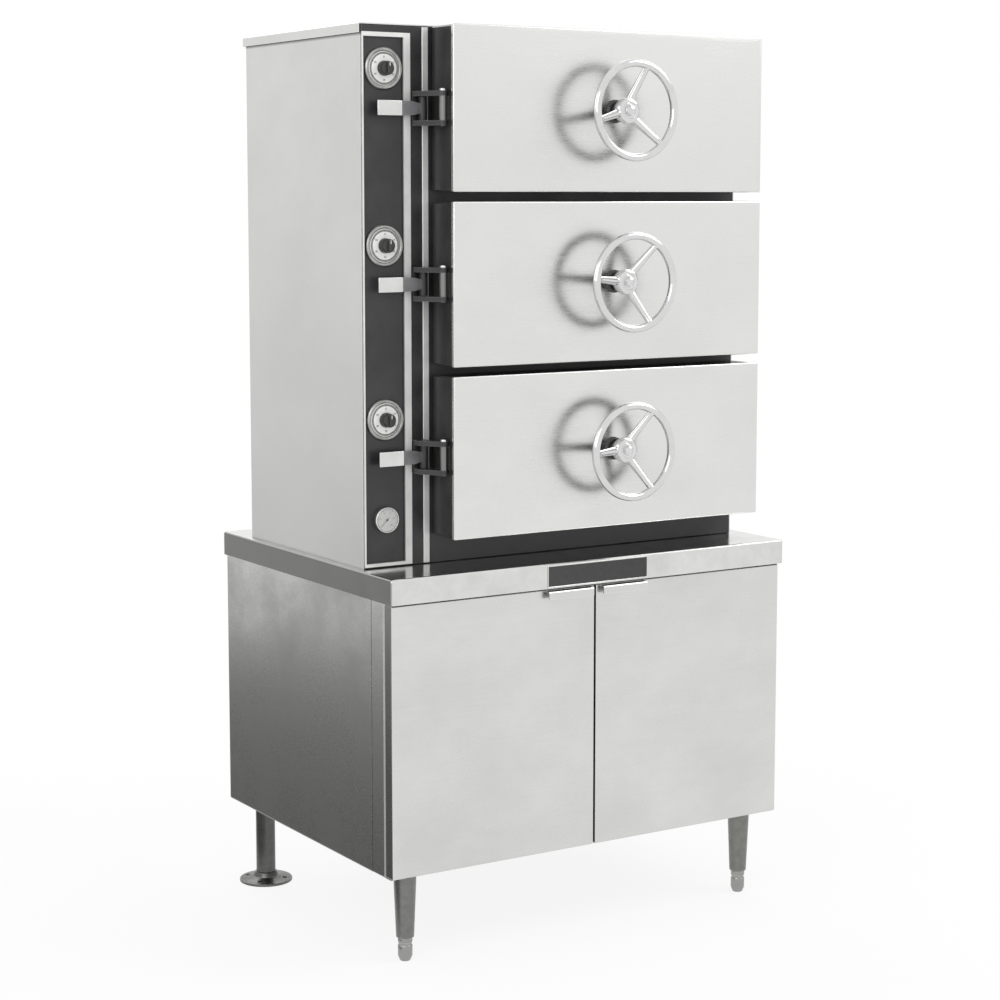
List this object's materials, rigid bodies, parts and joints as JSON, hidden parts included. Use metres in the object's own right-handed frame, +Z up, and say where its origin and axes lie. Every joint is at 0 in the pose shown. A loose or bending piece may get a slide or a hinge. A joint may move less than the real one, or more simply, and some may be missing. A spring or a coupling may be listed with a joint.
{
  "type": "commercial pressure steamer",
  "caption": "Floor-standing pressure steamer: stacked compartments with screw-down handwheel doors, timers and steam levers beside them, on a two-door boiler cabinet with legs.",
  "frame": {"origin": "on the floor, at the centre of the footprint box", "axes": "+Z up, +X to the right seen from the front, -Y towards the operator"},
  "size_m": [0.914, 0.7434, 1.748],
  "materials": {
    "stainless": "brushed",
    "polished": "polished",
    "chrome": "polished",
    "black_enamel": "satin",
    "black_plastic": "matte",
    "cast_aluminium": "cast",
    "silicone": "matte",
    "boiler_steel": "satin",
    "pipe_steel": "plain",
    "white_face": "satin"
  },
  "bodies": {
    "steamer": {"base_top": "polished", "base_front_frame": "stainless", "base_left_side": "stainless", "base_right_side": "stainless", "base_floor_pan": "stainless", "base_back_panel": "stainless", "leg_front_left": "cast_aluminium", "leg_front_right": "cast_aluminium", "leg_rear_left": "cast_aluminium", "leg_rear_right": "cast_aluminium", "boiler": "boiler_steel", "steam_riser": "pipe_steel", "body_left_side": "stainless", "body_right_side": "stainless", "body_top_cover": "stainless", "body_back_panel": "stainless", "body_front_frame": "black_enamel", "control_panel": "black_enamel", "control_bezel": "polished", "trim_strip": "polished", "pressure_gauge": "white_face", "compartment_liner_bottom": "stainless", "pan_rack_bottom": "stainless", "hinge_bracket_bottom": "black_enamel", "compartment_liner_middle": "stainless", "pan_rack_middle": "stainless", "hinge_bracket_middle": "black_enamel", "compartment_liner_top": "stainless", "pan_rack_top": "stainless", "hinge_bracket_top": "black_enamel"},
    "base_door_left": {"base_door_left": "stainless"},
    "base_door_right": {"base_door_right": "stainless"},
    "foot_front_left": {"foot_front_left": "stainless"},
    "foot_front_right": {"foot_front_right": "stainless"},
    "foot_rear_left": {"foot_rear_left": "cast_aluminium"},
    "foot_rear_right": {"foot_rear_right": "cast_aluminium"},
    "door_bottom": {"door_cover_bottom": "stainless", "door_body_bottom": "black_enamel"},
    "plate_bottom": {"pressure_plate_bottom": "cast_aluminium", "door_gasket_bottom": "silicone"},
    "wheel_bottom": {"handwheel_bottom": "chrome"},
    "bolt_bottom": {"latch_bolt_bottom": "stainless"},
    "lever_bottom": {"steam_lever_bottom": "polished"},
    "timer_bottom": {"timer_knob_bottom": "black_plastic"},
    "door_middle": {"door_cover_middle": "stainless", "door_body_middle": "black_enamel"},
    "plate_middle": {"pressure_plate_middle": "cast_aluminium", "door_gasket_middle": "silicone"},
    "wheel_middle": {"handwheel_middle": "chrome"},
    "bolt_middle": {"latch_bolt_middle": "stainless"},
    "lever_middle": {"steam_lever_middle": "polished"},
    "timer_middle": {"timer_knob_middle": "black_plastic"},
    "door_top": {"door_cover_top": "stainless", "door_body_top": "black_enamel"},
    "plate_top": {"pressure_plate_top": "cast_aluminium", "door_gasket_top": "silicone"},
    "wheel_top": {"handwheel_top": "chrome"},
    "bolt_top": {"latch_bolt_top": "stainless"},
    "lever_top": {"steam_lever_top": "polished"},
    "timer_top": {"timer_knob_top": "black_plastic"}
  },
  "joints": [
    {"name": "base_door_left_hinge", "type": "hinge", "parent": "steamer", "child": "base_door_left", "pos_m": [-0.445, -0.31675, 0.431], "axis": [0, 0, -1], "range_deg": [0, 120]},
    {"name": "base_door_right_hinge", "type": "hinge", "parent": "steamer", "child": "base_door_right", "pos_m": [0.445, -0.31675, 0.431], "axis": [0, 0, 1], "range_deg": [0, 120]},
    {"name": "foot_front_left_screw", "type": "hinge", "parent": "steamer", "child": "foot_front_left", "pos_m": [-0.397, -0.27925, 0], "axis": [0, 0, 1], "range_deg": [0, 1080]},
    {"name": "foot_front_right_screw", "type": "hinge", "parent": "steamer", "child": "foot_front_right", "pos_m": [0.397, -0.27925, 0], "axis": [0, 0, 1], "range_deg": [0, 1080]},
    {"name": "foot_rear_left_screw", "type": "hinge", "parent": "steamer", "child": "foot_rear_left", "pos_m": [-0.397, 0.31175, 0], "axis": [0, 0, 1], "range_deg": [0, 1080]},
    {"name": "foot_rear_right_screw", "type": "hinge", "parent": "steamer", "child": "foot_rear_right", "pos_m": [0.397, 0.31175, 0], "axis": [0, 0, 1], "range_deg": [0, 1080]},
    {"name": "door_bottom_hinge", "type": "hinge", "parent": "steamer", "child": "door_bottom", "pos_m": [-0.302, -0.26725, 0.9465], "axis": [0, 0, -1], "range_deg": [0, 120]},
    {"name": "handwheel_bottom_turn", "type": "hinge", "parent": "door_bottom", "child": "wheel_bottom", "pos_m": [0.065, -0.36425, 0.9465], "axis": [0, 1, 0], "range_deg": [0, 360]},
    {"name": "pressure_plate_bottom_slide", "type": "slide", "parent": "door_bottom", "child": "plate_bottom", "axis": [0, 1, 0], "range_m": [0, 0.003]},
    {"name": "latch_bolt_bottom_slide", "type": "slide", "parent": "door_bottom", "child": "bolt_bottom", "axis": [1, 0, 0], "range_m": [0, 0.016]},
    {"name": "steam_lever_bottom_swing", "type": "hinge", "parent": "steamer", "child": "lever_bottom", "pos_m": [-0.319, -0.22325, 0.9465], "axis": [0, 0, 1], "range_deg": [0, 60]},
    {"name": "timer_knob_bottom_turn", "type": "hinge", "parent": "steamer", "child": "timer_bottom", "pos_m": [-0.393, -0.20645, 1.0185], "axis": [0, 1, 0], "range_deg": [0, 300]},
    {"name": "door_middle_hinge", "type": "hinge", "parent": "steamer", "child": "door_middle", "pos_m": [-0.302, -0.26725, 1.2705], "axis": [0, 0, -1], "range_deg": [0, 120]},
    {"name": "handwheel_middle_turn", "type": "hinge", "parent": "door_middle", "child": "wheel_middle", "pos_m": [0.065, -0.36425, 1.2705], "axis": [0, 1, 0], "range_deg": [0, 360]},
    {"name": "pressure_plate_middle_slide", "type": "slide", "parent": "door_middle", "child": "plate_middle", "axis": [0, 1, 0], "range_m": [0, 0.003]},
    {"name": "latch_bolt_middle_slide", "type": "slide", "parent": "door_middle", "child": "bolt_middle", "axis": [1, 0, 0], "range_m": [0, 0.016]},
    {"name": "steam_lever_middle_swing", "type": "hinge", "parent": "steamer", "child": "lever_middle", "pos_m": [-0.319, -0.22325, 1.2705], "axis": [0, 0, 1], "range_deg": [0, 60]},
    {"name": "timer_knob_middle_turn", "type": "hinge", "parent": "steamer", "child": "timer_middle", "pos_m": [-0.393, -0.20645, 1.3425], "axis": [0, 1, 0], "range_deg": [0, 300]},
    {"name": "door_top_hinge", "type": "hinge", "parent": "steamer", "child": "door_top", "pos_m": [-0.302, -0.26725, 1.5945], "axis": [0, 0, -1], "range_deg": [0, 120]},
    {"name": "handwheel_top_turn", "type": "hinge", "parent": "door_top", "child": "wheel_top", "pos_m": [0.065, -0.36425, 1.5945], "axis": [0, 1, 0], "range_deg": [0, 360]},
    {"name": "pressure_plate_top_slide", "type": "slide", "parent": "door_top", "child": "plate_top", "axis": [0, 1, 0], "range_m": [0, 0.003]},
    {"name": "latch_bolt_top_slide", "type": "slide", "parent": "door_top", "child": "bolt_top", "axis": [1, 0, 0], "range_m": [0, 0.016]},
    {"name": "steam_lever_top_swing", "type": "hinge", "parent": "steamer", "child": "lever_top", "pos_m": [-0.319, -0.22325, 1.5945], "axis": [0, 0, 1], "range_deg": [0, 60]},
    {"name": "timer_knob_top_turn", "type": "hinge", "parent": "steamer", "child": "timer_top", "pos_m": [-0.393, -0.20645, 1.6665], "axis": [0, 1, 0], "range_deg": [0, 300]}
  ],
  "couplings": [
    {"joint": "pressure_plate_bottom_slide", "follows": "handwheel_bottom_turn", "m_per_rad": 0.000477},
    {"joint": "latch_bolt_bottom_slide", "follows": "handwheel_bottom_turn", "m_per_rad": 0.002546},
    {"joint": "pressure_plate_middle_slide", "follows": "handwheel_middle_turn", "m_per_rad": 0.000477},
    {"joint": "latch_bolt_middle_slide", "follows": "handwheel_middle_turn", "m_per_rad": 0.002546},
    {"joint": "pressure_plate_top_slide", "follows": "handwheel_top_turn", "m_per_rad": 0.000477},
    {"joint": "latch_bolt_top_slide", "follows": "handwheel_top_turn", "m_per_rad": 0.002546}
  ]
}
